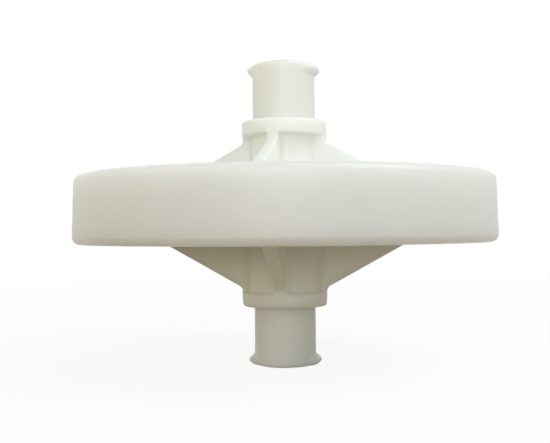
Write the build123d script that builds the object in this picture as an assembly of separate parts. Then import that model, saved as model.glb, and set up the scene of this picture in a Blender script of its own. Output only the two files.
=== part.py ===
from build123d import *

import os
from dataclasses import dataclass
from math import cos, radians, sin, tan

# In-line disc filter with a female Luer-lock connector at each end.
# It is two moulded housing halves that clamp a membrane, locked by a band moulded round their edge.
#
# Millimetres. +Z runs up the flow axis, from the outlet to the inlet. The origin is the centre of
# the outlet's end face, which the filter stands on. The inlet's lugs lie on the X axis.
# Each half is drawn with its own Z pointing away from the membrane's mid-plane.

round_flats = 3             # a large turned round is made of this many short tapers

# ---- Membrane ----
membrane_radius = 19.8
membrane_thickness = 0.15

# ---- Disc of each half ----
flow_space = 1.025          # from the membrane to the disc's inner face
disc_wall = 1.5
flange_margin = 1.0         # flanges beyond the membrane's edge
clamp_width = 1.6           # land that grips the membrane's edge
spigot_margin = 0.15        # outlet spigot beyond the membrane's edge
skirt_depth = 0.6           # inlet skirt past the membrane's mid-plane
skirt_gap = 0.05            # radial clearance between the skirt and the spigot

# ---- Radial ribs in the flow space, alternately long and short ----
rib_width = 0.6
long_rib_start = 3.6
short_rib_start = 9.0
rib_margin = 0.6            # flow space left free inside the clamp land

# ---- Edge band ----
band_wall = 1.6             # outside the flanges, at the band's lower edge
band_draft = 0.11           # how much narrower the band's upper edge is
band_lip = 0.92             # thickness of the lips over the discs' outer faces
band_lip_width = 2.0        # how far the lips reach in from the flanges' edge
band_corner = 1.05          # radius of the outer corners

# ---- Luer-lock connector, the same at both ends ----
socket_mouth = 2.15         # radius at the mouth
socket_taper = 0.06         # diameter lost per unit of depth
socket_depth = 7.8
tube_radius = 3.35
tube_chamfer = 0.4
lug_radius = 3.9
lug_sweep = 68.0
lug_lead = 0.5              # height of the sloped leading edge
lug_land = 0.3
lug_back = 0.7              # height of the sloped bearing edge

# ---- Hub under each connector ----
port_radius = 1.1
funnel_radius = 2.6
funnel_depth = 1.0
collar_radius = 4.54
collar_height = 1.5
collar_chamfer = 0.25
hub_radius = 3.9
hub_flare = 3.0             # radius of the sweep from the hub into the disc
gusset_count = 4
gusset_thickness = 1.15     # under the collar
gusset_draft = 1.2          # degrees on each side, thicker towards the disc
gusset_inset = 0.04         # outer edge, in from the collar's edge
gusset_edge_round = 0.18
sink = 0.4                  # how far added features start inside the body that carries them

# ---- Inlet half ----
inlet_reach = 15.7          # membrane's mid-plane to the connector's end face
inlet_tube_length = 6.2     # connector tube clear of the collar
inlet_shoulder = 2.3        # collar's outer face to where the gussets start to slope
inlet_slope = 28.0          # degrees between the gussets' edges and the disc
inlet_rib_count = 16
inlet_rib_gap = 0.25        # clearance between the flow ribs and the membrane
inlet_turn = 0.0            # degrees about the flow axis

# ---- Outlet half, whose ribs carry the membrane ----
outlet_reach = 16.6
outlet_tube_length = 6.3
outlet_shoulder = 1.93
outlet_slope = 29.1
outlet_rib_count = 24
outlet_rib_gap = 0.0
outlet_turn = 8.9


@dataclass(frozen=True)
class Half:
    """The sizes in which the two housing halves differ, named as above."""

    reach: float
    tube_length: float
    shoulder: float
    slope: float
    rib_count: int
    rib_gap: float
    has_skirt: bool         # the other half has the spigot that the skirt fits over


inlet = Half(
    inlet_reach, inlet_tube_length, inlet_shoulder, inlet_slope,
    inlet_rib_count, inlet_rib_gap, has_skirt=True,
)
outlet = Half(
    outlet_reach, outlet_tube_length, outlet_shoulder, outlet_slope,
    outlet_rib_count, outlet_rib_gap, has_skirt=False,
)

# ---- Levels and radii that several pieces share ----
membrane_face = membrane_thickness / 2
inner_face = membrane_face + flow_space
outer_face = inner_face + disc_wall
band_half_height = outer_face + band_lip
flange_radius = membrane_radius + flange_margin
spigot_radius = membrane_radius + spigot_margin
clamp_inner_radius = membrane_radius - clamp_width
lip_inner_radius = flange_radius - band_lip_width
band_radius = flange_radius + band_wall


def turned(corners):
    """Solid turned about Z from the (radius, height) corners of a closed outline."""
    return revolve(Plane.XZ * make_face(Polyline(*corners, close=True)), Axis.Z)


def quarter_round(centre, size, start):
    """Outline corners along a quarter circle about a centre, from a start angle in degrees."""
    angles = [radians(start + 90 * step / round_flats) for step in range(round_flats + 1)]
    return [(centre[0] + size * cos(angle), centre[1] + size * sin(angle)) for angle in angles]


def around(solid, count):
    """Copies of a solid, evenly spaced about Z, the first where it was drawn."""
    return [Rot(0, 0, 360 * index / count) * solid for index in range(count)]


def body_of_revolution(half):
    """Connector tube, collar, hub and disc, with the socket and the port through them."""
    collar_face = half.reach - half.tube_length
    collar_underside = collar_face - collar_height
    socket_floor = half.reach - socket_depth
    socket_floor_radius = socket_mouth - socket_depth * socket_taper / 2
    edge_level = -skirt_depth if half.has_skirt else skirt_depth
    edge_radius = spigot_radius + skirt_gap if half.has_skirt else spigot_radius
    return turned([
        (funnel_radius, inner_face),
        (port_radius, inner_face + funnel_depth),
        (port_radius, socket_floor),
        (socket_floor_radius, socket_floor),
        (socket_mouth, half.reach),
        (tube_radius - tube_chamfer, half.reach),
        (tube_radius, half.reach - tube_chamfer),
        (tube_radius, collar_face),
        (collar_radius - collar_chamfer, collar_face),
        (collar_radius, collar_face - collar_chamfer),
        (collar_radius, collar_underside),
        (hub_radius, collar_underside),
        *quarter_round((hub_radius + hub_flare, outer_face + hub_flare), hub_flare, 180),
        (flange_radius, outer_face),
        (flange_radius, edge_level),
        (edge_radius, edge_level),
        (edge_radius, membrane_face),
        (clamp_inner_radius, membrane_face),
        (clamp_inner_radius, inner_face),
    ])


def lugs(half):
    """The pair of lugs that a Luer-lock collar screws onto."""
    lead_level = half.reach - lug_lead
    land_level = lead_level - lug_land
    root_level = land_level - lug_back
    outline = Polyline(
        (tube_radius - tube_chamfer - sink, half.reach),
        (lug_radius - lug_lead, half.reach),
        (lug_radius, lead_level),
        (lug_radius, land_level),
        (tube_radius, root_level),
        (tube_radius - tube_chamfer - sink, root_level),
        close=True,
    )
    sector = revolve(Plane.XZ * make_face(outline), Axis.Z, revolution_arc=lug_sweep)
    lug = Rot(0, 0, -lug_sweep / 2) * sector
    return around(lug, 2)


def gussets(half):
    """Drafted triangular ribs that brace the hub and collar against the disc."""
    shoulder = half.reach - half.tube_length - half.shoulder
    top = half.reach - half.tube_length - collar_height + sink
    bottom = outer_face - sink
    edge = collar_radius - gusset_inset
    foot = edge + (shoulder - outer_face) / tan(radians(half.slope))
    side_outline = Polyline(
        (hub_radius - sink, bottom),
        (hub_radius - sink, top),
        (edge, top),
        (edge, shoulder),
        (foot, outer_face),
        (foot, bottom),
        close=True,
    )
    spread = (top - bottom) * tan(radians(gusset_draft))
    half_top = gusset_thickness / 2
    end_outline = Polyline(
        (-half_top - spread, bottom),
        (-half_top, top),
        (half_top, top),
        (half_top + spread, bottom),
        close=True,
    )
    side = extrude(Plane.XZ * make_face(side_outline), half_top + spread, both=True)
    end = extrude(Plane.YZ * make_face(end_outline), foot)
    rib = side & end
    sloped = [e for e in rib.edges() if e.center().X > edge and e.center().Z > outer_face + sink]
    return around(fillet(sloped, gusset_edge_round), gusset_count)


def flow_ribs(half):
    """Ribs that hold the disc and the membrane apart, with channels between them to the port."""
    rib_end = clamp_inner_radius - rib_margin
    height = inner_face - membrane_face - half.rib_gap
    outline = Sketch()
    for index in range(half.rib_count):
        start = short_rib_start if index % 2 else long_rib_start
        rib = Pos((start + rib_end) / 2, 0) * Rectangle(rib_end - start, rib_width)
        outline += Rot(0, 0, 360 * index / half.rib_count) * rib
    return extrude(Pos(0, 0, inner_face) * outline, -height)


def housing(half):
    """One moulded half, with its own Z pointing away from the membrane."""
    return body_of_revolution(half) + gussets(half) + lugs(half) + flow_ribs(half)


def edge_band():
    """The band that closes round both flanges and over the discs' outer faces."""
    corner_height = band_half_height - band_corner
    lower_corner = (band_radius - band_corner, -corner_height)
    upper_corner = (band_radius - band_draft - band_corner, corner_height)
    return turned([
        (lip_inner_radius, -band_half_height),
        *quarter_round(lower_corner, band_corner, -90),
        *quarter_round(upper_corner, band_corner, 0),
        (lip_inner_radius, band_half_height),
        (lip_inner_radius, outer_face),
        (flange_radius, outer_face),
        (flange_radius, -outer_face),
        (lip_inner_radius, -outer_face),
    ])


middle = Pos(0, 0, outlet_reach)
parts = {
    "inlet_housing": middle * Rot(0, 0, inlet_turn) * housing(inlet),
    "outlet_housing": middle * Rot(0, 0, outlet_turn) * Rot(180, 0, 0) * housing(outlet),
    "membrane": middle * Cylinder(membrane_radius, membrane_thickness),
    "sealing_band": middle * edge_band(),
}

os.makedirs("parts", exist_ok=True)
for name, solid in parts.items():
    export_step(solid, f"parts/{name}.step")
    print(name, len(solid.solids()), "solid", round(solid.volume, 1), "mm3")
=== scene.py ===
import logging
import math
from collections.abc import Mapping, Sequence
from dataclasses import dataclass
from enum import Enum
from typing import Any

import bmesh
import bpy
from bpy.types import ID, Material, Node, NodeSocket, NodeTree, Object
from mathutils import Matrix, Vector


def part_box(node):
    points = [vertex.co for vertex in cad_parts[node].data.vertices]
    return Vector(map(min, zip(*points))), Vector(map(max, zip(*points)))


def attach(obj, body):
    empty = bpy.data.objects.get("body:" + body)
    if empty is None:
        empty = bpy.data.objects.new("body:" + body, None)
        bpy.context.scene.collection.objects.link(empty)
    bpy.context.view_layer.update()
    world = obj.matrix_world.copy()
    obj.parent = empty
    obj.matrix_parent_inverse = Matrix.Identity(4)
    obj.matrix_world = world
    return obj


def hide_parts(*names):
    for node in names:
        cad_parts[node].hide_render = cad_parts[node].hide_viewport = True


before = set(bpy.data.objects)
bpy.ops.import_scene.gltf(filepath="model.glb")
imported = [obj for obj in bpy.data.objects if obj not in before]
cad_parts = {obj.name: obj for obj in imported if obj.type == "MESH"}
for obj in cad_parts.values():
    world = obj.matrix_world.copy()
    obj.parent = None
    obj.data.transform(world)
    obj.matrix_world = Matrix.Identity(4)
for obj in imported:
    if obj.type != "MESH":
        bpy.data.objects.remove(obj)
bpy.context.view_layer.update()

# A disc-shaped syringe filter of natural polypropylene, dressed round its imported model.
# The classes hold sizes in millimetres, and every mesh is built in metres.
# A housing half is drawn with its Z pointing away from the membrane, then put in place.

MM = 0.001
log = logging.getLogger("syringe_filter")

Point = tuple[float, float]
Row = list[tuple[float, float, float]]
Colour = tuple[float, float, float]
Settings = Mapping[str, Any]
Inputs = Mapping[str | int, Any]

WHITE: Colour = (1.0, 1.0, 1.0)


class End(Enum):
    """The two ends of the filter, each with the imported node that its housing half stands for."""

    INLET = "inlet_housing"
    OUTLET = "outlet_housing"


# --- node graphs


@dataclass(frozen=True)
class Signal:
    """A number in a node tree that can be used in ordinary sums."""

    graph: "Graph"
    socket: NodeSocket

    def __add__(self, other: "Signal | float") -> "Signal":
        """This number plus another."""
        return self.graph.math("ADD", self, other)

    def __radd__(self, other: float) -> "Signal":
        """Another number plus this one."""
        return self.graph.math("ADD", other, self)

    def __sub__(self, other: "Signal | float") -> "Signal":
        """This number less another."""
        return self.graph.math("SUBTRACT", self, other)

    def __mul__(self, other: "Signal | float") -> "Signal":
        """This number times another."""
        return self.graph.math("MULTIPLY", self, other)

    def __truediv__(self, other: "Signal | float") -> "Signal":
        """This number divided by another."""
        return self.graph.math("DIVIDE", self, other)

    def above(self, low: float, high: float) -> "Signal":
        """How far this number has risen between two levels, smoothly.

        Args:
            low: The level that gives 0.
            high: The level that gives 1.

        Returns:
            A number from 0 to 1.
        """
        settings = {"interpolation_type": "SMOOTHSTEP"}
        inputs = {"Value": self, "From Min": low, "From Max": high}
        return self.graph.number(self.graph.node("ShaderNodeMapRange", settings, inputs))


class Graph:
    """Builds the nodes of one material, world or geometry tree."""

    def __init__(self, tree: NodeTree) -> None:
        """Start on a tree, which loses the nodes that it has."""
        self.tree = tree
        tree.nodes.clear()

    def node(
        self, kind: str, settings: Settings | None = None, inputs: Inputs | None = None
    ) -> Node:
        """Add a node, with its settings made before its sockets are filled.

        Args:
            kind: The node's type.
            settings: The node's own properties.
            inputs: Values or links by socket name or number.

        Returns:
            The new node.
        """
        node = self.tree.nodes.new(kind)
        for name, value in (settings or {}).items():
            setattr(node, name, value)
        for key, value in (inputs or {}).items():
            if isinstance(value, Signal):
                value = value.socket
            if isinstance(value, NodeSocket):
                self.tree.links.new(value, node.inputs[key])
            else:
                node.inputs[key].default_value = value
        return node

    def number(self, node: Node, output: str | int = 0) -> Signal:
        """One of a node's outputs as a number."""
        return Signal(self, node.outputs[output])

    def math(self, operation: str, *values: "Signal | float") -> Signal:
        """Add a Math node.

        Args:
            operation: The node's operation.
            values: Its inputs in order.

        Returns:
            The result.
        """
        inputs = dict(enumerate(values))
        return self.number(self.node("ShaderNodeMath", {"operation": operation}, inputs))

    def mix_colours(self, share: Signal, first: Colour, second: Colour) -> NodeSocket:
        """Blend two colours.

        Args:
            share: How much of the second colour there is.
            first: The colour where share is 0.
            second: The colour where share is 1.

        Returns:
            The blend's socket.
        """
        # A Mix node's colours are its sockets 6 and 7, and the blend is its output 2.
        inputs = {0: share, 6: opaque(first), 7: opaque(second)}
        return self.node("ShaderNodeMix", {"data_type": "RGBA"}, inputs).outputs[2]

    def mix_shaders(self, share: Signal, first: Node, second: Node) -> Node:
        """Blend two shaders.

        Args:
            share: How much of the second shader there is.
            first: The shader where share is 0.
            second: The shader where share is 1.

        Returns:
            The blend's node.
        """
        inputs = {0: share, 1: first.outputs[0], 2: second.outputs[0]}
        return self.node("ShaderNodeMixShader", inputs=inputs)

    def coordinates(self) -> NodeSocket:
        """The place on the object itself, in metres."""
        return self.node("ShaderNodeTexCoord").outputs["Object"]

    def noise(
        self, place: NodeSocket, size_mm: float, detail: float, dimensions: str = "3D"
    ) -> Signal:
        """Even noise.

        Args:
            place: The coordinates that it reads.
            size_mm: The size of its features.
            detail: How many finer layers it has.
            dimensions: 3D to read a place in space, or 2D on a plane.

        Returns:
            A number round 0.5.
        """
        settings = {"noise_dimensions": dimensions}
        inputs = {"Vector": place, "Scale": 1 / (size_mm * MM), "Detail": detail}
        return self.number(self.node("ShaderNodeTexNoise", settings, inputs))

    def bump(self, height: Signal, strength: float, depth_mm: float) -> NodeSocket:
        """Fine relief.

        Args:
            height: The relief's height as a share of its depth.
            strength: How much of it shows.
            depth_mm: Its depth.

        Returns:
            The normal's socket.
        """
        inputs = {"Strength": strength, "Distance": depth_mm * MM, "Height": height}
        return self.node("ShaderNodeBump", inputs=inputs).outputs["Normal"]


def opaque(colour: Colour) -> tuple[float, float, float, float]:
    """The colour with full alpha."""
    return (*colour, 1.0)


def new_material(name: str) -> tuple[Material, Graph]:
    """A new material and the builder of its nodes."""
    made = bpy.data.materials.new(name)
    made.use_nodes = True
    return made, Graph(made.node_tree)


# --- finishes


@dataclass(frozen=True)
class MouldedPlastic:
    """Natural polypropylene from a turned steel mould: milky, with a satin skin."""

    name: str
    tone: Colour
    warm_tone: Colour
    roughness: float = 0.38
    depth_mm: float = 2.6
    depth_by_colour: Colour = (1.0, 0.92, 0.78)
    turning_mm: float = 0.35
    turning_height: float = 0.012
    turning_warmth: float = 0.04
    turning_roughness: float = 0.015
    mottle_mm: float = 5.0
    mottle_height: float = 0.04
    mottle_levels: tuple[float, float] = (0.35, 0.7)
    mottle_warmth: float = 0.5
    handling_roughness: float = 0.06
    grain_mm: float = 0.16
    grain_height: float = 0.05

    def material(self) -> Material:
        """Build the material.

        Returns:
            A material that reads Object coordinates only.
        """
        made, graph = new_material(self.name)
        place = graph.coordinates()
        mottle = graph.noise(place, self.mottle_mm, detail=3.0)
        turning = self.turned_noise(graph, place)
        grain = graph.noise(place, self.grain_mm, detail=2.0)
        handling = graph.noise(place, self.mottle_mm / 2, detail=2.0)
        warmth = mottle.above(*self.mottle_levels) * self.mottle_warmth
        warmth = warmth + turning * self.turning_warmth
        roughness = self.roughness + (handling - 0.5) * self.handling_roughness
        roughness = roughness + (turning - 0.5) * self.turning_roughness
        height = (turning - 0.5) * self.turning_height
        height = height + (grain - 0.5) * self.grain_height + (mottle - 0.5) * self.mottle_height
        surface = graph.node(
            "ShaderNodeBsdfPrincipled",
            {"subsurface_method": "RANDOM_WALK"},
            {
                "Base Color": graph.mix_colours(warmth, self.tone, self.warm_tone),
                "Roughness": roughness,
                "IOR": 1.49,
                "Normal": graph.bump(height, strength=0.35, depth_mm=0.05),
                "Subsurface Weight": 1.0,
                "Subsurface Radius": self.depth_by_colour,
                "Subsurface Scale": self.depth_mm * MM,
            },
        )
        graph.node("ShaderNodeOutputMaterial", inputs={"Surface": surface.outputs[0]})
        return made

    def turned_noise(self, graph: Graph, place: NodeSocket) -> Signal:
        """A number round 0.5 that changes outwards and along the flow axis, as turning marks do."""
        parts = graph.node("ShaderNodeSeparateXYZ", inputs={0: place})
        east, north, up = (Signal(graph, socket) for socket in parts.outputs)
        radius = graph.math("SQRT", east * east + north * north)
        ring = graph.node("ShaderNodeCombineXYZ", inputs={0: radius, 1: up})
        return graph.noise(ring.outputs[0], self.turning_mm, detail=4.0, dimensions="2D")


@dataclass(frozen=True)
class MembraneSheet:
    """Matte white microporous sheet with a fine fibrous surface."""

    name: str = "membrane_sheet"
    tone: Colour = (0.86, 0.86, 0.84)
    shade: Colour = (0.78, 0.78, 0.75)
    roughness: float = 0.85
    pore_roughness: float = 0.1
    pore_levels: tuple[float, float] = (0.4, 0.65)
    pore_mm: float = 0.08

    def material(self) -> Material:
        """Build the material.

        Returns:
            A material that reads Object coordinates only.
        """
        made, graph = new_material(self.name)
        pores = graph.noise(graph.coordinates(), self.pore_mm, detail=5.0)
        share = pores.above(*self.pore_levels)
        surface = graph.node(
            "ShaderNodeBsdfPrincipled",
            inputs={
                "Base Color": graph.mix_colours(share, self.tone, self.shade),
                "Roughness": self.roughness + (pores - 0.5) * self.pore_roughness,
                "Normal": graph.bump(pores, strength=0.5, depth_mm=0.02),
            },
        )
        graph.node("ShaderNodeOutputMaterial", inputs={"Surface": surface.outputs[0]})
        return made


# --- mesh operations


@dataclass(frozen=True)
class Corner:
    """A corner of an outline, in millimetres: across, up, and how far it is rounded."""

    across: float
    up: float
    rounding: float = 0.0


def rounded(corners: Sequence[Corner], step_deg: float = 11.0) -> list[Point]:
    """Points of a closed outline whose corners are rounded.

    Args:
        corners: The outline's corners in order.
        step_deg: The turn between two points of a round.

    Returns:
        The outline's points in order, the first not repeated.
    """
    points: list[Point] = []
    for index, corner in enumerate(corners):
        here = Vector((corner.across, corner.up))
        before = Vector((corners[index - 1].across, corners[index - 1].up))
        following = corners[(index + 1) % len(corners)]
        after = Vector((following.across, following.up))
        if corner.rounding <= 0:
            points.append(tuple(here))
            continue
        back = (before - here).normalized()
        ahead = (after - here).normalized()
        opening = back.angle(ahead)
        reach = corner.rounding / math.tan(opening / 2)
        centre = here + (back + ahead).normalized() * (corner.rounding / math.sin(opening / 2))
        start = here + back * reach - centre
        turn = math.pi - opening
        side = 1.0 if back.x * ahead.y - back.y * ahead.x < 0 else -1.0
        count = max(2, math.ceil(math.degrees(turn) / step_deg))
        for step in range(count + 1):
            angle = side * turn * step / count
            points.append(tuple(centre + Matrix.Rotation(angle, 2) @ start))
    return points


def add_object(name: str, data: ID) -> Object:
    """A new object for a mesh, a lamp or a camera, in the scene."""
    item = bpy.data.objects.new(name, data)
    bpy.context.scene.collection.objects.link(item)
    return item


def mesh_object(name: str, vertices: Row, faces: Sequence[tuple[int, ...]]) -> Object:
    """A new object from points in millimetres, with its faces turned outwards.

    Args:
        name: The object's name.
        vertices: Points in millimetres.
        faces: Point numbers of each face.

    Returns:
        The object, in the scene.
    """
    mesh = bpy.data.meshes.new(name)
    mesh.from_pydata([Vector(point) * MM for point in vertices], [], faces)
    work = bmesh.new()
    work.from_mesh(mesh)
    bmesh.ops.recalc_face_normals(work, faces=work.faces)
    work.to_mesh(mesh)
    work.free()
    return add_object(name, mesh)


def loops_object(name: str, loops: Sequence[Row], wrap: bool) -> Object:
    """A closed skin over a series of closed loops that all have as many points.

    Args:
        name: The object's name.
        loops: The loops in order, in millimetres.
        wrap: Whether the last loop joins the first. Otherwise both ends are capped.

    Returns:
        The object, in the scene.
    """
    size = len(loops[0])
    vertices = [point for loop in loops for point in loop]
    faces: list[tuple[int, ...]] = []
    for row in range(len(loops) if wrap else len(loops) - 1):
        first = row * size
        second = (row + 1) % len(loops) * size
        for column in range(size):
            beside = (column + 1) % size
            faces.append((first + column, first + beside, second + beside, second + column))
    if not wrap:
        last = (len(loops) - 1) * size
        faces.append(tuple(range(size)))
        faces.append(tuple(range(last, last + size)))
    return mesh_object(name, vertices, faces)


def between(first: Point, second: Point, share: float) -> Point:
    """The point this share of the way from the first point to the second."""
    across = first[0] + (second[0] - first[0]) * share
    return (across, first[1] + (second[1] - first[1]) * share)


def evenly(line: Sequence[Point], count: int) -> list[Point]:
    """Points set evenly along an open line, from its start to its end.

    Args:
        line: The line's own points.
        count: How many points to return.

    Returns:
        The points.
    """
    lengths = [0.0]
    for before, after in zip(line, line[1:]):
        lengths.append(lengths[-1] + math.dist(before, after))
    points: list[Point] = []
    piece = 0
    for index in range(count):
        along = lengths[-1] * index / (count - 1)
        while piece < len(line) - 2 and lengths[piece + 1] < along:
            piece += 1
        share = (along - lengths[piece]) / (lengths[piece + 1] - lengths[piece])
        points.append(between(line[piece], line[piece + 1], share))
    return points


def hollow(depth: float, radius: float) -> float:
    """How far a fillet stands out from a wall, this far from the face that it also touches."""
    if depth >= radius:
        return 0.0
    return radius - math.sqrt(radius**2 - (radius - depth) ** 2)


def ring_row(radii: Sequence[float], angles: Sequence[float], height: float) -> Row:
    """One row of a skin round the flow axis, in millimetres and radians."""
    return [(r * math.cos(a), r * math.sin(a), height) for r, a in zip(radii, angles)]


def bake_modifiers(item: Object) -> None:
    """Replace an object's mesh by what its modifiers make of it, and drop the modifiers."""
    graph = bpy.context.evaluated_depsgraph_get()
    graph.update()
    result = bpy.data.meshes.new_from_object(item.evaluated_get(graph))
    old = item.data
    item.modifiers.clear()
    item.data = result
    result.name = item.name
    bpy.data.meshes.remove(old)


def fuse(body: Object, addition: Object) -> None:
    """Join closed solids to a body as one skin, and delete them.

    Args:
        body: The object that the solids are joined to.
        addition: The object that holds the solids, which overlap the body.
    """
    union = body.modifiers.new("union", "BOOLEAN")
    union.operation = "UNION"
    union.solver = "EXACT"
    union.object = addition
    bake_modifiers(body)
    spent = addition.data
    bpy.data.objects.remove(addition)
    bpy.data.meshes.remove(spent)


def smooth(item: Object, sharp_deg: float = 38.0, weld_mm: float = 0.0005) -> None:
    """Shade an object smooth, apart from its sharp edges, with flat faces kept flat.

    Args:
        item: The object.
        sharp_deg: The angle from which an edge is sharp.
        weld_mm: The distance up to which points are one point.
    """
    work = bmesh.new()
    work.from_mesh(item.data)
    bmesh.ops.remove_doubles(work, verts=work.verts, dist=weld_mm * MM)
    bmesh.ops.dissolve_degenerate(work, edges=work.edges, dist=weld_mm * MM)
    work.to_mesh(item.data)
    work.free()
    item.data.shade_smooth()
    item.data.set_sharp_from_angle(angle=math.radians(sharp_deg))
    weighted = item.modifiers.new("flat_faces_flat", "WEIGHTED_NORMAL")
    weighted.keep_sharp = True
    weighted.weight = 90
    bake_modifiers(item)


# --- geometry nodes


class ShapeTree:
    """A geometry tree that makes one shape of an object's own mesh, in one material."""

    def __init__(self, name: str, sockets: Mapping[str, str]) -> None:
        """Start the tree with its inputs.

        Args:
            name: The tree's name.
            sockets: The kind of each input besides the geometry and the material.
        """
        self.tree = bpy.data.node_groups.new(name, "GeometryNodeTree")
        face = self.tree.interface
        for label, kind in {"Geometry": "Geometry", **sockets, "Material": "Material"}.items():
            face.new_socket(label, in_out="INPUT", socket_type=f"NodeSocket{kind}")
        face.new_socket("Geometry", in_out="OUTPUT", socket_type="NodeSocketGeometry")
        self.graph = Graph(self.tree)
        self.given = self.graph.node("NodeGroupInput")

    def close(self, shape: Node) -> None:
        """End the tree with a node's shape as plain mesh in the given material."""
        real = self.graph.node("GeometryNodeRealizeInstances", inputs={0: shape.outputs[0]})
        inputs = {"Geometry": real.outputs[0], "Material": self.given.outputs["Material"]}
        dressed = self.graph.node("GeometryNodeSetMaterial", inputs=inputs)
        self.graph.node("NodeGroupOutput", inputs={0: dressed.outputs[0]})

    def run(self, item: Object, values: Mapping[str, Any]) -> Object:
        """Run the tree on an object and keep the result as its plain mesh.

        Args:
            item: The object.
            values: The tree's inputs by name.

        Returns:
            The same object.
        """
        modifier = item.modifiers.new(self.tree.name, "NODES")
        modifier.node_group = self.tree
        for socket in self.tree.interface.items_tree:
            if socket.in_out == "INPUT" and socket.name in values:
                modifier[socket.identifier] = values[socket.name]
        bake_modifiers(item)
        return item


class RingOfCopies(ShapeTree):
    """Sets copies of an object's mesh evenly round the flow axis, from an angle in radians."""

    def __init__(self) -> None:
        """Build the tree."""
        super().__init__("ring_of_copies", {"Count": "Int", "First Angle": "Float"})
        graph, given = self.graph, self.given
        count = graph.number(given, "Count")
        index = graph.number(graph.node("GeometryNodeInputIndex"))
        angle = index * math.tau / count + graph.number(given, "First Angle")
        turn = graph.node("ShaderNodeCombineXYZ", inputs={"Z": angle}).outputs[0]
        points = graph.node("GeometryNodePoints", inputs={"Count": count})
        inputs = {"Points": points.outputs[0], "Instance": given.outputs[0], "Rotation": turn}
        self.close(graph.node("GeometryNodeInstanceOnPoints", inputs=inputs))


class SweptSection(ShapeTree):
    """Sweeps a section round the flow axis, on a circle in metres, as one closed skin."""

    def __init__(self) -> None:
        """Build the tree."""
        super().__init__("swept_section", {"Path Radius": "Float", "Steps": "Int"})
        graph, given = self.graph, self.given
        section = graph.node("GeometryNodeMeshToCurve", inputs={0: given.outputs[0]})
        inputs = {"Resolution": given.outputs["Steps"], "Radius": given.outputs["Path Radius"]}
        path = graph.node("GeometryNodeCurvePrimitiveCircle", {"mode": "RADIUS"}, inputs)
        inputs = {"Curve": path.outputs[0], "Profile Curve": section.outputs[0]}
        self.close(graph.node("GeometryNodeCurveToMesh", inputs=inputs))


# --- the filter's parts


@dataclass
class Connector:
    """A female Luer-lock connector: tapered socket, tube and two lugs, in millimetres."""

    socket_mouth: float = 2.15
    socket_taper: float = 0.06
    socket_depth: float = 7.8
    socket_mouth_round: float = 0.1
    socket_floor_round: float = 0.15
    tube_radius: float = 3.35
    tube_round: float = 0.4
    end_land: float = 0.1
    lug_radius: float = 3.9
    lug_sweep_deg: float = 62.0
    lug_run_out_deg: float = 18.0
    lug_lead: float = 0.62
    lug_land: float = 0.18
    lug_back: float = 0.52
    lug_round: float = 0.2
    lug_lead_round: float = 0.9
    lug_root: float = 0.1
    neck: float = 0.2
    lug_steps: int = 48

    @property
    def socket_floor(self) -> float:
        """The socket's radius at its floor."""
        return self.socket_mouth - self.socket_depth * self.socket_taper / 2

    @property
    def end_radius(self) -> float:
        """The radius on the end face where the tube's outside starts."""
        return self.tube_radius - self.tube_round - self.end_land

    def lug_share(self, angle: float) -> float:
        """How much of a lug's height there is in one direction, from 0 to 1.

        Args:
            angle: The direction from the X axis, in radians.

        Returns:
            The share, which runs out smoothly at a lug's ends.
        """
        beside = math.degrees(abs(math.asin(math.sin(angle))))
        inside = (self.lug_sweep_deg + self.lug_run_out_deg) / 2 - beside
        share = min(1.0, max(0.0, inside / self.lug_run_out_deg))
        return share * share * (3 - 2 * share)

    def outside(self, reach: float, angles: Sequence[float]) -> list[Row]:
        """Rows of skin from the end face down over the lugs to the neck under them.

        Args:
            reach: The end face's height.
            angles: Directions of each row's points.

        Returns:
            The rows.
        """
        lead = reach - self.lug_lead
        root = lead - self.lug_land - self.lug_back
        start = Corner(self.end_radius, reach)
        neck = Corner(self.tube_radius, root - self.neck)
        end = Corner(self.tube_radius, reach, self.tube_round)
        plain = rounded([start, end, neck], step_deg=5.0)
        lug = rounded([
            start,
            Corner(self.lug_radius - self.lug_lead, reach, self.lug_lead_round),
            Corner(self.lug_radius, lead, self.lug_round),
            Corner(self.lug_radius, lead - self.lug_land, self.lug_round),
            Corner(self.tube_radius, root, self.lug_root),
            neck,
        ])
        rows = []
        for bare, proud in zip(evenly(plain, self.lug_steps), evenly(lug, self.lug_steps)):
            row = []
            for angle in angles:
                radius, height = between(bare, proud, self.lug_share(angle))
                row.append((radius * math.cos(angle), radius * math.sin(angle), height))
            rows.append(row)
        return rows


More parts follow.
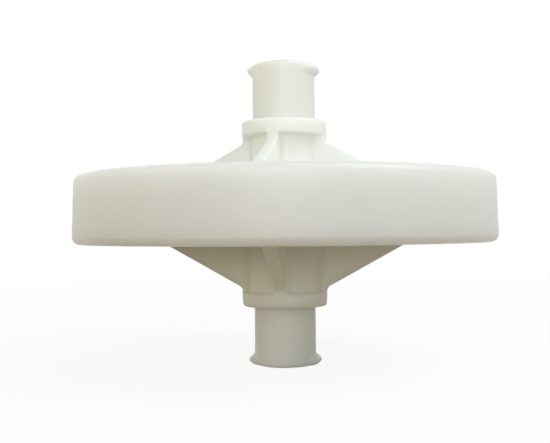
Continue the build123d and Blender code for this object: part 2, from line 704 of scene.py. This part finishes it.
@dataclass
class Hub:
    """What joins a connector to its disc: collar, hub and gussets, in millimetres."""

    port_radius: float = 1.1
    port_round: float = 0.12
    funnel_radius: float = 2.6
    funnel_depth: float = 1.0
    funnel_round: float = 0.4
    collar_radius: float = 4.54
    collar_height: float = 1.5
    collar_land: float = 1.0
    collar_foot: float = 0.15
    collar_round: float = 0.33
    under_round: float = 0.22
    hub_radius: float = 3.9
    hub_top_fillet: float = 0.25
    hub_flare: float = 3.0
    gusset_count: int = 4
    gusset_thickness: float = 1.15
    gusset_draft_deg: float = 1.2
    gusset_round: float = 0.13
    gusset_round_least: float = 0.04
    gusset_side_least: float = 0.02
    gusset_root: float = 0.5
    gusset_root_loss: float = 0.6
    toe_root: float = 0.32
    shoulder_fillet: float = 0.7
    toe_fillet: float = 0.6
    slices: int = 60
    slice_crowding: float = 1.8
    top_slices: int = 6
    edge_steps: int = 2
    round_steps: int = 6
    side_steps: int = 4
    root_steps: int = 5
    wall_steps: int = 12

    def tip(self, clear: float, shoulder: float, slope: float) -> float:
        """How far out a gusset reaches at a height above the disc.

        Args:
            clear: The height.
            shoulder: The height at which its upright edge turns into its slope.
            slope: The slope's angle from the disc, in radians.

        Returns:
            The distance from the flow axis.
        """
        edge = self.collar_radius
        bend = self.shoulder_fillet * math.tan((math.pi / 2 - slope) / 2)
        if clear >= shoulder + bend:
            return edge
        if clear > shoulder - bend * math.sin(slope):
            drop = shoulder + bend - clear
            return edge + self.shoulder_fillet - math.sqrt(self.shoulder_fillet**2 - drop**2)
        toe = edge + shoulder / math.tan(slope)
        if clear < self.toe_fillet * (1 - math.cos(slope)):
            run = math.sqrt(2 * self.toe_fillet * clear - clear**2)
            return toe + self.toe_fillet * math.tan(slope / 2) - run
        return toe - clear / math.tan(slope)

    def plan(
        self, foot: float, half: float, tip: float, stretch: float, root: float
    ) -> list[Point]:
        """The hub's outline with its gussets, seen along the flow axis at one height.

        Args:
            foot: The hub's radius there.
            half: Half a gusset's thickness there.
            tip: How far out the gussets reach.
            stretch: How much longer than wide their rounded edges are cut at that height.
            root: Radius of the fillet between a gusset and the hub.

        Returns:
            Points of radius and angle, all the way round.
        """
        bend = math.sqrt((foot + root) ** 2 - (half + root) ** 2)
        across = self.gusset_round
        along = min(across * stretch, tip - bend - self.gusset_side_least)
        along = max(self.gusset_round_least, along)
        start, flat = tip - along, half - across
        side = [(tip, flat * step / self.edge_steps) for step in range(self.edge_steps)]
        for step in range(self.round_steps + 1):
            swing = math.pi / 2 * step / self.round_steps
            side.append((start + along * math.cos(swing), flat + across * math.sin(swing)))
        for step in range(1, self.side_steps):
            side.append((start + (bend - start) * step / self.side_steps, half))
        lean = math.asin((half + root) / (foot + root))
        for step in range(self.root_steps + 1):
            swing = math.pi * 1.5 - (math.pi / 2 - lean) * step / self.root_steps
            side.append((bend + root * math.cos(swing), half + root + root * math.sin(swing)))
        polar = [(math.hypot(x, y), math.atan2(y, x)) for x, y in side]
        sector = math.tau / self.gusset_count
        for step in range(1, self.wall_steps + 1):
            polar.append((foot, lean + (sector / 2 - lean) * step / self.wall_steps))
        polar += [(radius, sector - angle) for radius, angle in reversed(polar[1:-1])]
        return [(r, a + sector * turn) for turn in range(self.gusset_count) for r, a in polar]

    def plans(
        self, height: float, shoulder: float, slope_deg: float
    ) -> list[tuple[float, list[Point]]]:
        """The hub's outlines from under the collar down to the disc.

        Args:
            height: The collar's underside above the disc.
            shoulder: The height at which a gusset's edge turns into its slope.
            slope_deg: The slope's angle from the disc.

        Returns:
            Pairs of height above the disc and outline.
        """
        slope = math.radians(slope_deg)
        draft = math.tan(math.radians(self.gusset_draft_deg))
        clears = []
        for step in range(self.top_slices + 1):
            clears.append(height - self.hub_top_fillet * (step / self.top_slices) ** 2)
        start = clears[-1]
        for step in range(1, self.slices + 1):
            clears.append(start * (1 - step / self.slices) ** self.slice_crowding)
        rise = 0.01
        result = []
        for clear in clears:
            widening = hollow(height - clear, self.hub_top_fillet)
            foot = self.hub_radius + hollow(clear, self.hub_flare) + widening
            half = self.gusset_thickness / 2 + (height - clear) * draft
            half += hollow(clear, self.toe_root) + widening
            tip = self.tip(clear, shoulder, slope)
            fall = (tip - self.tip(clear + rise, shoulder, slope)) / rise
            stretch = min(math.hypot(1.0, fall), 1 / math.sin(slope))
            root = self.gusset_root - self.gusset_root_loss * widening
            result.append((clear, self.plan(foot, half, tip, stretch, root)))
        return result


@dataclass
class Disc:
    """The disc of a housing half, with what it holds inside, in millimetres."""

    flange_radius: float
    membrane_radius: float
    membrane_face: float
    outer_face: float
    wall: float = 1.5
    wall_round: float = 0.25
    funnel_edge: float = 0.2
    clamp_width: float = 1.6
    clamp_round: float = 0.1
    spigot_margin: float = 0.15
    skirt_depth: float = 0.6
    skirt_gap: float = 0.05
    skirt_round: float = 0.05
    skirt_land: float = 0.3
    rib_width: float = 0.6
    rib_draft: float = 0.05
    long_rib_start: float = 3.6
    short_rib_start: float = 9.0
    rib_margin: float = 0.6
    rib_round: float = 0.12
    sink: float = 0.3

    @property
    def inner_face(self) -> float:
        """Height of the disc's inner face."""
        return self.outer_face - self.wall

    @property
    def clamp_radius(self) -> float:
        """Inner radius of the land that grips the membrane."""
        return self.membrane_radius - self.clamp_width

    def rib(self, start: float, gap: float) -> Object:
        """One flow rib on the X axis, drafted and with rounded ends.

        Args:
            start: The radius at which it starts.
            gap: Its clearance from the membrane.

        Returns:
            The rib's object.
        """
        end = self.clamp_radius - self.rib_margin
        half = self.rib_width / 2
        crest = (self.membrane_face + gap, half - self.rib_draft)
        foot = (self.inner_face + self.sink, half)
        loops = []
        for height, side in (crest, foot):
            ends = [(start, -side), (end, -side), (end, side), (start, side)]
            corners = [Corner(across, up, self.rib_round) for across, up in ends]
            loops.append([(x, y, height) for x, y in rounded(corners, step_deg=30.0)])
        return loops_object("flow_rib", loops, wrap=False)


@dataclass
class HousingHalf:
    """One moulded half of the housing, in one piece from its disc to its connector.

    Its shoulder is how far under the collar's outer face the gussets turn into their slope.
    """

    end: End
    reach: float
    disc: Disc
    hub: Hub
    connector: Connector
    tube_length: float
    shoulder: float
    slope_deg: float
    rib_count: int
    rib_gap: float = 0.0
    turn_deg: float = 0.0

    @property
    def collar_face(self) -> float:
        """Height of the collar's outer face."""
        return self.reach - self.tube_length

    def way_through(self) -> list[Point]:
        """The line from the disc's edge through the flow space, port and socket to the end face.

        Returns:
            Points of radius and height.
        """
        hub, disc, connector = self.hub, self.disc, self.connector
        inlet = self.end is End.INLET
        edge_level = -disc.skirt_depth if inlet else disc.skirt_depth
        spigot = disc.membrane_radius + disc.spigot_margin
        edge_radius = spigot + disc.skirt_gap if inlet else spigot
        socket_floor = self.reach - connector.socket_depth
        return rounded([
            Corner(disc.flange_radius, edge_level + disc.skirt_land),
            Corner(disc.flange_radius, edge_level, disc.skirt_round),
            Corner(edge_radius, edge_level, disc.skirt_round),
            Corner(edge_radius, disc.membrane_face),
            Corner(disc.clamp_radius, disc.membrane_face, disc.clamp_round),
            Corner(disc.clamp_radius, disc.inner_face, disc.wall_round),
            Corner(hub.funnel_radius, disc.inner_face, disc.funnel_edge),
            Corner(hub.port_radius, disc.inner_face + hub.funnel_depth, hub.funnel_round),
            Corner(hub.port_radius, socket_floor, hub.port_round),
            Corner(connector.socket_floor, socket_floor, connector.socket_floor_round),
            Corner(connector.socket_mouth, self.reach, connector.socket_mouth_round),
            Corner(connector.end_radius, self.reach),
        ])

    def collar(self, angles: Sequence[float], hub_top: Sequence[float]) -> list[Row]:
        """Rows of skin over the collar, from the tube to its underside.

        Args:
            angles: Directions of each row's points.
            hub_top: Radii in those directions of what stands under the collar.

        Returns:
            The rows.
        """
        hub, connector = self.hub, self.connector
        under = self.collar_face - hub.collar_height
        line = rounded([
            Corner(connector.tube_radius, self.collar_face + hub.collar_land),
            Corner(connector.tube_radius, self.collar_face, hub.collar_foot),
            Corner(hub.collar_radius, self.collar_face, hub.collar_round),
            Corner(hub.collar_radius, under, hub.under_round),
            Corner(hub.hub_radius, under),
        ])
        rows = []
        for radius, height in line[:-1]:
            below = height < self.collar_face - hub.collar_height / 2
            radii = [max(radius, top) if below else radius for top in hub_top]
            rows.append(ring_row(radii, angles, height))
        return rows

    def body(self) -> Object:
        """The half's one skin: socket, tube, lugs, collar, gussets, hub and disc.

        Returns:
            The body's object.
        """
        disc = self.disc
        under = self.collar_face - self.hub.collar_height - disc.outer_face
        shoulder = self.collar_face - self.shoulder - disc.outer_face
        plans = self.hub.plans(under, shoulder, self.slope_deg)
        hub_top = [radius for radius, _ in plans[0][1]]
        angles = [angle for _, angle in plans[0][1]]
        toes = [angle for _, angle in plans[-1][1]]
        rows = [ring_row([disc.flange_radius] * len(toes), toes, disc.outer_face)]
        for radius, height in self.way_through()[:-1]:
            rows.append(ring_row([radius] * len(angles), angles, height))
        rows += self.connector.outside(self.reach, angles)
        rows += self.collar(angles, hub_top)
        for clear, plan in plans:
            radii, directions = zip(*plan)
            rows.append(ring_row(radii, directions, disc.outer_face + clear))
        return loops_object(self.end.value.replace("housing", "half"), rows, wrap=True)

    def build(self, middle: float, ring: RingOfCopies, finish: Material) -> Object:
        """Mould the half in one piece and put it in its place.

        Args:
            middle: Height of the membrane's mid-plane in the row frame.
            ring: The tree that repeats the flow ribs.
            finish: The half's material.

        Returns:
            The finished object.
        """
        body = self.body()
        body.data.materials.append(finish)
        values = {"Count": self.rib_count // 2, "Material": finish}
        for start, first_deg in (
            (self.disc.long_rib_start, 0.0),
            (self.disc.short_rib_start, 360 / self.rib_count),
        ):
            rib = self.disc.rib(start, self.rib_gap)
            fuse(body, ring.run(rib, {**values, "First Angle": math.radians(first_deg)}))
        body.data.transform(self.placing(middle))
        smooth(body)
        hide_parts(self.end.value)
        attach(body, "root")
        return body

    def placing(self, middle: float) -> Matrix:
        """The move from the half's own frame to the row frame.

        Args:
            middle: Height of the membrane's mid-plane in millimetres.

        Returns:
            The move, for a mesh in metres.
        """
        turn = Matrix.Rotation(math.radians(self.turn_deg), 4, "Z")
        place = Matrix.Translation((0, 0, middle * MM)) @ turn
        if self.end is End.OUTLET:
            place = place @ Matrix.Rotation(math.pi, 4, "X")
        return place


@dataclass
class EdgeBand:
    """The band moulded round both flanges, in millimetres about the membrane's mid-plane.

    It is melted onto the flanges, so light crosses the joint and its skin runs through them.
    """

    radius: float
    half_height: float
    flange_radius: float
    draft: float = 0.2
    lip_width: float = 2.0
    corner: float = 0.78
    lip_corner: float = 0.3
    steps: int = 256

    def section(self) -> list[Point]:
        """The band's section, as a closed outline of radius and height."""
        lip = self.flange_radius - self.lip_width
        top = self.half_height
        return rounded([
            Corner(lip, -top, self.lip_corner),
            Corner(self.radius, -top, self.corner),
            Corner(self.radius - self.draft, top, self.corner),
            Corner(lip, top, self.lip_corner),
        ], step_deg=7.0)

    def build(self, middle: float, sweep: SweptSection, finish: Material) -> Object:
        """Sweep the section round the discs.

        Args:
            middle: Height of the membrane's mid-plane in the row frame.
            sweep: The tree that sweeps a section.
            finish: The band's material.

        Returns:
            The finished object.
        """
        outline = reversed(self.section())
        # The sweep turns a section's second axis down the flow axis, so it goes in mirrored.
        points = [((r - self.flange_radius) * MM, -z * MM, 0.0) for r, z in outline]
        edges = [(index, (index + 1) % len(points)) for index in range(len(points))]
        mesh = bpy.data.meshes.new("edge_band")
        mesh.from_pydata(points, edges, [])
        band = add_object("edge_band", mesh)
        radius = self.flange_radius * MM
        sweep.run(band, {"Path Radius": radius, "Steps": self.steps, "Material": finish})
        band.data.transform(Matrix.Translation((0, 0, middle * MM)))
        smooth(band)
        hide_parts("sealing_band")
        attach(band, "root")
        return band


# --- studio


def facing(place: Vector, aim: Vector) -> Matrix:
    """The transform of a camera or lamp that stands at one point and faces another."""
    return Matrix.Translation(place) @ (aim - place).to_track_quat("-Z", "Y").to_matrix().to_4x4()


@dataclass(frozen=True)
class Viewpoint:
    """Where the camera stands, in millimetres and degrees about the filter's axis."""

    azimuth: float = 15.5
    distance: float = 90.0
    height: float = 14.4
    aim_left: float = 1.03
    aim_height: float = 15.36
    roll: float = -0.45
    lens: float = 54.43
    sensor: float = 36.0
    nearest: float = 2.0
    farthest: float = 20000.0

    def around(self, azimuth: float, distance: float, height: float) -> Vector:
        """A point round the filter, in metres.

        Args:
            azimuth: Degrees to the camera's right, as the filter sees it.
            distance: From the axis.
            height: Above the floor.

        Returns:
            The point in the row frame.
        """
        angle = math.radians(self.azimuth + azimuth)
        return Vector((distance * math.sin(angle), -distance * math.cos(angle), height)) * MM

    def camera(self) -> None:
        """Create the camera and make it the scene's."""
        made = bpy.data.cameras.new("camera")
        made.lens = self.lens
        made.sensor_width = self.sensor
        made.clip_start = self.nearest * MM
        made.clip_end = self.farthest * MM
        item = add_object("camera", made)
        place = self.around(0.0, self.distance, self.height)
        aim = self.around(-90.0, self.aim_left, self.aim_height)
        item.matrix_world = facing(place, aim) @ Matrix.Rotation(math.radians(self.roll), 4, "Z")
        bpy.context.scene.camera = item


@dataclass(frozen=True)
class Lamp:
    """A soft rectangular lamp that faces the filter, mirrored in the plastic's skin or not."""

    name: str
    azimuth: float
    distance: float
    height: float
    size: tuple[float, float]
    level: float
    colour: Colour = WHITE
    mirrored: bool = True

    def place(self, view: Viewpoint, aim_height: float) -> None:
        """Set the lamp up.

        Args:
            view: The viewpoint that its azimuth is measured from.
            aim_height: Height on the axis that it faces, in millimetres.
        """
        made = bpy.data.lights.new(self.name, "AREA")
        made.shape = "RECTANGLE"
        made.size = self.size[0] * MM
        made.size_y = self.size[1] * MM
        made.color = self.colour
        made.energy = self.level * math.pi * made.size * made.size_y
        item = add_object(self.name, made)
        item.visible_glossy = self.mirrored
        place = view.around(self.azimuth, self.distance, self.height)
        item.matrix_world = facing(place, Vector((0, 0, aim_height * MM)))


@dataclass
class Studio:
    """Plain pale floor, white surroundings and soft lamps."""

    view: Viewpoint
    lamps: Sequence[Lamp]
    ambient: Colour = (0.385, 0.41, 0.375)
    floor_bounce: Colour = (0.4, 0.33, 0.22)
    floor_half_width: float = 3000.0
    floor_white: float = 0.9
    floor_fade: tuple[float, float] = (30.0, 200.0)

    def build(self, middle: float) -> None:
        """Make the surroundings.

        Args:
            middle: Height on the axis that the lamps face, in millimetres.
        """
        self.view.camera()
        for lamp in self.lamps:
            lamp.place(self.view, middle)
        self.world()
        self.floor()
        bpy.context.scene.view_settings.view_transform = "Standard"

    @staticmethod
    def seen_directly(graph: Graph) -> Signal:
        """1 for rays from the camera, a reflection or a clear pass, and 0 for the light's own."""
        path = graph.node("ShaderNodeLightPath")
        seen = graph.number(path, "Is Camera Ray") + graph.number(path, "Is Glossy Ray")
        return graph.math("MINIMUM", seen + graph.number(path, "Is Transmission Ray"), 1.0)

    def world(self) -> None:
        """White to the eye, and an even dimmer light on the filter."""
        world = bpy.data.worlds.new("surroundings")
        world.use_nodes = True
        graph = Graph(world.node_tree)
        ambient = graph.node("ShaderNodeBackground", inputs={"Color": opaque(self.ambient)})
        white = graph.node("ShaderNodeBackground", inputs={"Color": opaque(WHITE)})
        mixed = graph.mix_shaders(self.seen_directly(graph), ambient, white)
        graph.node("ShaderNodeOutputWorld", inputs={"Surface": mixed.outputs[0]})
        bpy.context.scene.world = world

    def floor(self) -> None:
        """A pale floor that keeps the filter's shadow."""
        half = self.floor_half_width
        corners = [(-half, -half, 0), (half, -half, 0), (half, half, 0), (-half, half, 0)]
        floor = mesh_object("floor", corners, [(0, 1, 2, 3)])
        made, graph = new_material("pale_floor")
        bounce = graph.node("ShaderNodeBsdfDiffuse", inputs={"Color": opaque(self.floor_bounce)})
        shaded = graph.node("ShaderNodeBsdfDiffuse", inputs={"Color": opaque(WHITE)})
        white = graph.node("ShaderNodeEmission", inputs={"Color": opaque(WHITE)})
        inputs = {0: graph.coordinates()}
        length = graph.node("ShaderNodeVectorMath", {"operation": "LENGTH"}, inputs)
        distance = graph.number(length, "Value")
        near, far = self.floor_fade
        share = self.floor_white + distance.above(near * MM, far * MM) * (1 - self.floor_white)
        seen = graph.mix_shaders(share, shaded, white)
        mixed = graph.mix_shaders(self.seen_directly(graph), bounce, seen)
        graph.node("ShaderNodeOutputMaterial", inputs={"Surface": mixed.outputs[0]})
        floor.data.materials.append(made)


# --- main


@dataclass(frozen=True)
class Levels:
    """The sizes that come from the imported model, in millimetres."""

    middle: float
    inlet_reach: float
    outlet_reach: float
    flange_radius: float
    membrane_radius: float
    membrane_face: float
    band_radius: float
    band_half_height: float

    @classmethod
    def from_frame(cls) -> "Levels":
        """Read the sizes from the nodes' boxes.

        Returns:
            The sizes.
        """
        inlet_low, inlet_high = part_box("inlet_housing")
        outlet_low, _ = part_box("outlet_housing")
        sheet_low, sheet_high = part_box("membrane")
        band_low, band_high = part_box("sealing_band")
        middle = (sheet_low[2] + sheet_high[2]) / 2
        return cls(
            middle=middle / MM,
            inlet_reach=(inlet_high[2] - middle) / MM,
            outlet_reach=(middle - outlet_low[2]) / MM,
            flange_radius=(inlet_high[0] - inlet_low[0]) / 2 / MM,
            membrane_radius=(sheet_high[0] - sheet_low[0]) / 2 / MM,
            membrane_face=(sheet_high[2] - sheet_low[2]) / 2 / MM,
            band_radius=(band_high[0] - band_low[0]) / 2 / MM,
            band_half_height=(band_high[2] - band_low[2]) / 2 / MM,
        )


def dress_filter(levels: Levels, lip: float) -> None:
    """Build the filter's pieces and give each its finish.

    Args:
        levels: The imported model's sizes.
        lip: Thickness of the band's lips, in millimetres.
    """
    housing = MouldedPlastic(
        "housing_plastic", tone=(0.86, 0.875, 0.85), warm_tone=(0.845, 0.85, 0.81)
    ).material()
    band_finish = MouldedPlastic(
        "band_plastic", tone=(0.93, 0.955, 0.925), warm_tone=(0.925, 0.948, 0.905), depth_mm=9.0
    ).material()
    ring, sweep = RingOfCopies(), SweptSection()
    disc = Disc(
        flange_radius=levels.flange_radius,
        membrane_radius=levels.membrane_radius,
        membrane_face=levels.membrane_face,
        outer_face=levels.band_half_height - lip,
    )
    inlet = HousingHalf(
        end=End.INLET,
        reach=levels.inlet_reach,
        disc=disc,
        hub=Hub(hub_radius=3.5),
        connector=Connector(),
        tube_length=6.2,
        shoulder=2.3,
        slope_deg=28.0,
        rib_count=16,
        rib_gap=0.25,
    )
    outlet = HousingHalf(
        end=End.OUTLET,
        reach=levels.outlet_reach,
        disc=disc,
        hub=Hub(hub_radius=3.98, under_round=0.3),
        connector=Connector(
            tube_radius=3.29, lug_sweep_deg=50.0, lug_run_out_deg=22.0, lug_lead=0.44, lug_back=0.58
        ),
        tube_length=6.3,
        shoulder=1.93,
        slope_deg=29.1,
        rib_count=24,
        turn_deg=8.9,
    )
    band = EdgeBand(levels.band_radius, levels.band_half_height, levels.flange_radius)
    built = [half.build(levels.middle, ring, housing) for half in (inlet, outlet)]
    built.append(band.build(levels.middle, sweep, band_finish))
    for piece in built:
        log.info("%s: %d faces", piece.name, len(piece.data.polygons))
    sheet_finish = MembraneSheet().material()
    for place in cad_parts["membrane"].material_slots:
        place.material = sheet_finish
    log.info("membrane: dressed")


def main() -> None:
    """Dress the filter and set up the studio."""
    logging.basicConfig(level=logging.INFO, format="%(name)s %(message)s")
    levels = Levels.from_frame()
    dress_filter(levels, lip=0.92)
    green_tint, amber_tint = (0.85, 1.0, 0.6), (1.0, 0.72, 0.2)
    # Each lamp: name, azimuth, distance, height, size, level and, where it isn't white, colour.
    lamps = [
        Lamp("key", 64.0, 325.0, 400.0, (250.0, 250.0), 5.5),
        Lamp("front_fill", 0.0, 485.0, 140.0, (300.0, 200.0), 2.95),
        Lamp("front_strip", -19.5, 400.0, 60.0, (24.0, 260.0), 3.8),
        Lamp("left_fill", -60.0, 410.0, 300.0, (180.0, 180.0), 2.1),
        Lamp("right_low", 55.0, 497.0, 60.0, (90.0, 70.0), 2.4, green_tint),
        Lamp("low_fill", -66.0, 497.0, 71.0, (90.0, 70.0), 11.0, amber_tint, mirrored=False),
    ]
    Studio(Viewpoint(), lamps).build(levels.middle)
    log.info("sizes kept")


if __name__ == "__main__":
    main()
